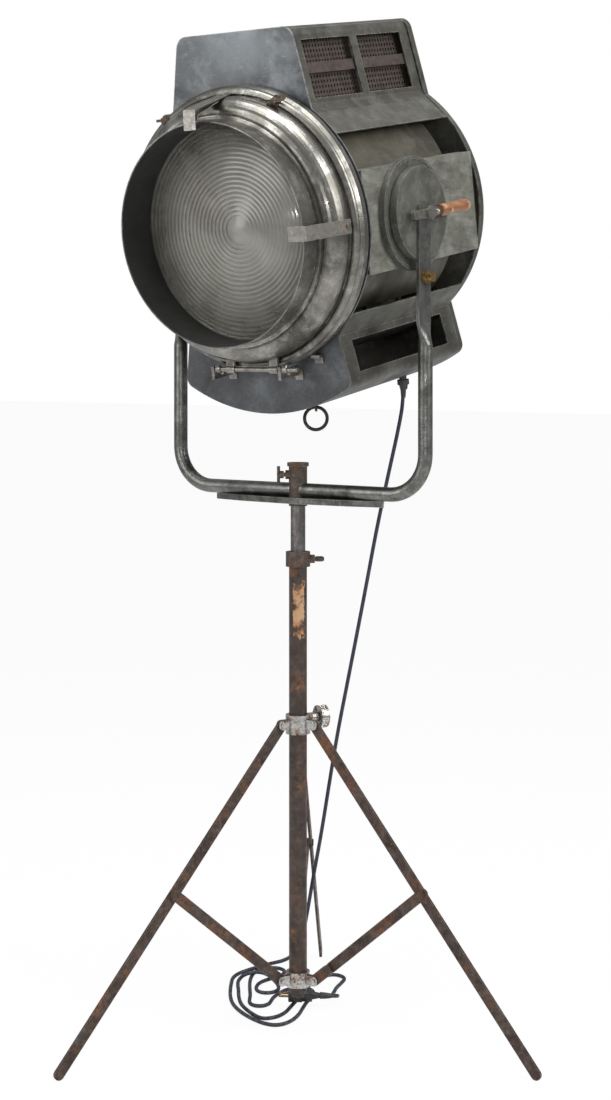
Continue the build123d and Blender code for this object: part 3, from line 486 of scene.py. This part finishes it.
def make_glass():
    """Stepped lens, darker round its rim, the lamp glass and the silvered mirror."""
    g, shader = start("lens_glass")
    place = g.node("ShaderNodeTexCoord").outputs["Object"]
    haze = g.band(g.noise(place, 7.0, 6.0, 0.6, 0.8), 0.3, 0.7)
    axes = head_axes(g, place)
    radius = g.math("SQRT", g.math("ADD", g.math("MULTIPLY", axes[0], axes[0]),
                                   g.math("MULTIPLY", axes[2], axes[2])))
    # the lens is made darker towards its rim, in patches
    rim_darkening = g.math("MULTIPLY", g.band(radius, 0.13, 0.2), g.noise(place, 22.0, 6.0))
    tint = g.mix(haze, (0.44, 0.425, 0.37), (0.70, 0.685, 0.62))
    g.feed(shader, "Base Color", g.mix(rim_darkening, tint, (0.16, 0.15, 0.12)))
    g.feed(shader, "Roughness", g.math("ADD", g.math("MULTIPLY", haze, 0.14), 0.12))
    shader.inputs["Transmission Weight"].default_value = 0.62
    shader.inputs["IOR"].default_value = 1.5
    g, shader = start("bulb_glass", 0.0, 0.04)
    place = g.node("ShaderNodeTexCoord").outputs["Object"]
    soot_and_painted_shade = g.band(g.noise(place, 24.0, 4.0), 0.5, 0.75)
    g.feed(shader, "Base Color", g.mix(soot_and_painted_shade, (0.93, 0.94, 0.95), (0.55, 0.53, 0.5)))
    shader.inputs["Transmission Weight"].default_value = 0.95
    finish("mirror_cup", (0.80, 0.81, 0.83), (0.45, 0.43, 0.38), (0.93, 0.93, 0.94), 20.0,
           1.0, 0.08, 0.5, 0.5, relief=0.02)


make_finishes()


def dress_frame():
    """Every carried-over node takes the finish that the record names for it."""
    for entry in frame["record"]["subparts"]:
        piece = frame["nodes"][entry["node"]]
        for place in piece.material_slots:
            place.material = made_materials[entry["material_slot"]]


dress_frame()


# ---- the supply cord ---------------------------------------------------------
CORD_POINTS = [
    # off the gland and down behind the stand
    (109, 199.7, 1243.5), (107, 206, 1204), (97, 203, 1146), (76, 197, 1052), (53, 192, 948),
    (33, 188.5, 846), (11, 187, 744), (-12, 185.5, 640), (-35, 184.5, 538), (-54, 184, 438),
    (-72, 183.5, 340), (-92, 182, 244), (-109, 182, 158), (-127, 190, 108), (-158, 206, 72),
    (-200, 230, 48), (-240, 248, 32), (-272, 256, 19), (-298, 247, 9),
    # wide outer turn on the floor
    (-309, 222, 5), (-301, 192, 5), (-283, 164, 5), (-260, 130, 5), (-233, 94, 5),
    (-202, 60, 5), (-168, 35, 5), (-136, 18, 5), (-108, 7, 5), (-80, 0, 5), (-54, 4, 5),
    (-44, 32, 5), (-53, 76, 5), (-72, 118, 5), (-88, 155, 5), (-98, 190, 5),
    # back under the plug and round the first small turn
    (-118, 222, 5), (-150, 222, 5), (-166, 194, 5), (-164, 164, 5), (-158, 138, 5),
    (-148, 116, 5), (-141, 100, 5), (-143, 83, 5), (-157, 74, 5), (-174, 80, 5),
    (-188, 98, 5), (-202, 120, 5), (-220, 143, 5), (-244, 174, 5), (-266, 206, 5),
    (-284, 240, 5), (-290, 274, 5),
    # second small turn, crossing over the first
    (-268, 302, 5), (-236, 292, 5), (-226, 256, 5), (-236, 222, 5), (-236, 196, 5),
    (-226, 172, 5), (-212, 154, 5), (-194, 148, 5), (-178, 158, 5), (-176, 180, 5),
    (-190, 201, 6), (-214, 217, 10), (-240, 228, 15), (-266, 228, 15), (-286, 212, 10),
    (-281, 184, 5),
    # inner front turn and back under the plug
    (-262, 158, 5), (-242, 134, 5), (-217, 101, 5), (-186, 67, 5), (-153, 44, 5),
    (-124, 28, 5), (-98, 20, 5), (-82, 44, 5), (-84, 78, 5), (-97, 113, 5), (-108, 146, 5),
    (-113, 170, 11), (-119, 194, 15), (-126, 218, 15), (-135, 244, 9),
    # small turn on the right, then into the plug
    (-145, 272, 5), (-156, 306, 5), (-142, 334, 5), (-110, 326, 5), (-98, 292, 5),
    (-90, 262, 5), (-78, 236, 5), (-68, 214, 6), (-52, 200, 11), (-36, 190, 17),
    (-32, 172, 22), (-42, 159.6, 24), (-54.5, 152.3, 24)]
CORD_WIDTH = 0.0076
SLEEVE_WIDTHS = (1.75, 1.6, 1.16)             # of the cord's width, from the root down


def lay_cord():
    """One smooth tube along the route, down from the gland to the plug."""
    shape = bpy.data.curves.new("supply_cord", "CURVE")
    shape.dimensions = "3D"
    spline = shape.splines.new("NURBS")
    spline.points.add(len(CORD_POINTS) - 1)
    for point, place in zip(spline.points, CORD_POINTS):
        point.co = (*[v * MM for v in place], 1)
    spline.order_u = 3
    spline.use_endpoint_u = True
    spline.resolution_u = 8
    shape.bevel_depth = CORD_WIDTH / 2
    shape.bevel_resolution = 4
    shape.use_fill_caps = True
    piece = bpy.data.objects.new("supply_cord", shape)
    bpy.context.collection.objects.link(piece)
    shape.materials.append(made_materials["cord_rubber"])
    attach(piece, "stand")
    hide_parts("cord_drop", "cord_coil")
    return piece


def sleeve(name, start, middle, end, rides, slot):
    """Short moulded sleeve that tapers down on to the cord."""
    bpy.ops.curve.primitive_nurbs_path_add(radius=1, location=(0, 0, 0))
    piece = bpy.context.object
    piece.name = name
    shape = piece.data
    shape.splines.clear()
    spline = shape.splines.new("NURBS")
    spline.points.add(2)
    for point, place, width in zip(spline.points, (start, middle, end), SLEEVE_WIDTHS):
        point.co = (*[v * MM for v in place], 1)
        point.radius = width
    spline.order_u = 3
    spline.use_endpoint_u = True
    spline.resolution_u = 24
    shape.bevel_depth = CORD_WIDTH / 2
    shape.bevel_resolution = 8
    shape.use_fill_caps = True
    bpy.ops.object.convert(target="MESH")
    piece = bpy.context.object
    piece.data.materials.clear()
    piece.data.materials.append(made_materials[slot])
    bpy.ops.object.shade_smooth()
    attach(piece, rides)


def sleeves():
    sleeve("gland_sleeve", (109, 199.7, 1243.5), (108, 202.85, 1223.75), (107, 204.5, 1206.6),
           "stand", "gland_black")
    sleeve("plug_sleeve", (-54.5, 152.3, 24), (-42, 159.6, 24), (-37, 165.8, 23), "stand",
           "plug_plastic")


sleeves()
cord = lay_cord()


# ---- stage, light and camera -------------------------------------------------
def set_stage():
    """Wide paper floor that shows almost white to the camera."""
    bpy.ops.mesh.primitive_plane_add(size=60, location=(0, 0, 0))
    floor = bpy.context.object
    floor.name = "studio_floor"
    g, shader = start("floor_paper", 0.0, 0.9)
    shader.inputs["Base Color"].default_value = (0.86, 0.86, 0.86, 1)
    shader.inputs["Specular IOR Level"].default_value = 0.0
    seen = g.node("ShaderNodeLightPath").outputs["Is Camera Ray"]
    white = g.node("ShaderNodeEmission", Color=(1, 1, 1, 1), Strength=1.0)
    blend = g.node("ShaderNodeMixShader", **{"0": g.math("MULTIPLY", seen, 0.93)})
    g.tree.links.new(shader.outputs[0], blend.inputs[1])
    g.tree.links.new(white.outputs[0], blend.inputs[2])
    out = next(n for n in g.tree.nodes if n.bl_idname == "ShaderNodeOutputMaterial")
    g.tree.links.new(blend.outputs[0], out.inputs["Surface"])
    floor.data.materials.append(made_materials["floor_paper"])


def soft_light(name, place, aim, size, power):
    lamp = bpy.data.lights.new(name, "AREA")
    lamp.shape = "RECTANGLE"
    lamp.size, lamp.size_y = size
    lamp.energy = power
    piece = bpy.data.objects.new(name, lamp)
    bpy.context.collection.objects.link(piece)
    piece.location = place
    piece.rotation_euler = (Vector(aim) - Vector(place)).to_track_quat("-Z", "Y").to_euler()


def set_lights():
    """White surroundings to the camera, a soft grey room in reflections, four lamps."""
    world = bpy.context.scene.world or bpy.data.worlds.new("studio")
    bpy.context.scene.world = world
    world.use_nodes = True
    world.node_tree.nodes.clear()
    g = Graph(world.node_tree)
    place = g.node("ShaderNodeTexCoord").outputs["Generated"]
    height = g.node("ShaderNodeSeparateXYZ", Vector=place).outputs[2]
    shade = g.band(height, -0.15, 0.9)
    room = g.mix(shade, (0.13, 0.13, 0.135), (0.60, 0.61, 0.63))
    seen = g.node("ShaderNodeLightPath").outputs["Is Camera Ray"]
    color = g.mix(seen, room, (1.0, 1.0, 1.0))
    back = g.node("ShaderNodeBackground", Color=color, Strength=1.0)
    out = g.node("ShaderNodeOutputWorld")
    g.tree.links.new(back.outputs[0], out.inputs["Surface"])
    head = Vector((0, 0, 1.5))
    soft_light("window_right", head + RIGHT * 2.6 - LOOK * 1.6 + UP * 1.5, head, (1.2, 2.2), 90)
    soft_light("window_left", head - RIGHT * 3.0 - LOOK * 1.8 + UP * 0.9, head, (2.0, 2.4), 60)
    soft_light("overhead", head + UP * 2.6 - LOOK * 0.6, head, (2.4, 1.6), 70)
    soft_light("flash", head - LOOK * 3.6 + UP * 0.15, head, (0.12, 0.12), 14)


def set_camera():
    lens = bpy.data.cameras.new("camera")
    lens.sensor_width = 36
    lens.lens = 67.27
    lens.shift_y = -0.1902
    view = bpy.data.objects.new("camera", lens)
    bpy.context.collection.objects.link(view)
    view.location = (2.2559, -3.1862, 1.3171)
    view.rotation_euler = (math.radians(90), 0, VIEW_TURN)
    bpy.context.scene.camera = view


set_stage()
set_lights()
set_camera()
bpy.context.scene.view_settings.view_transform = "Standard"
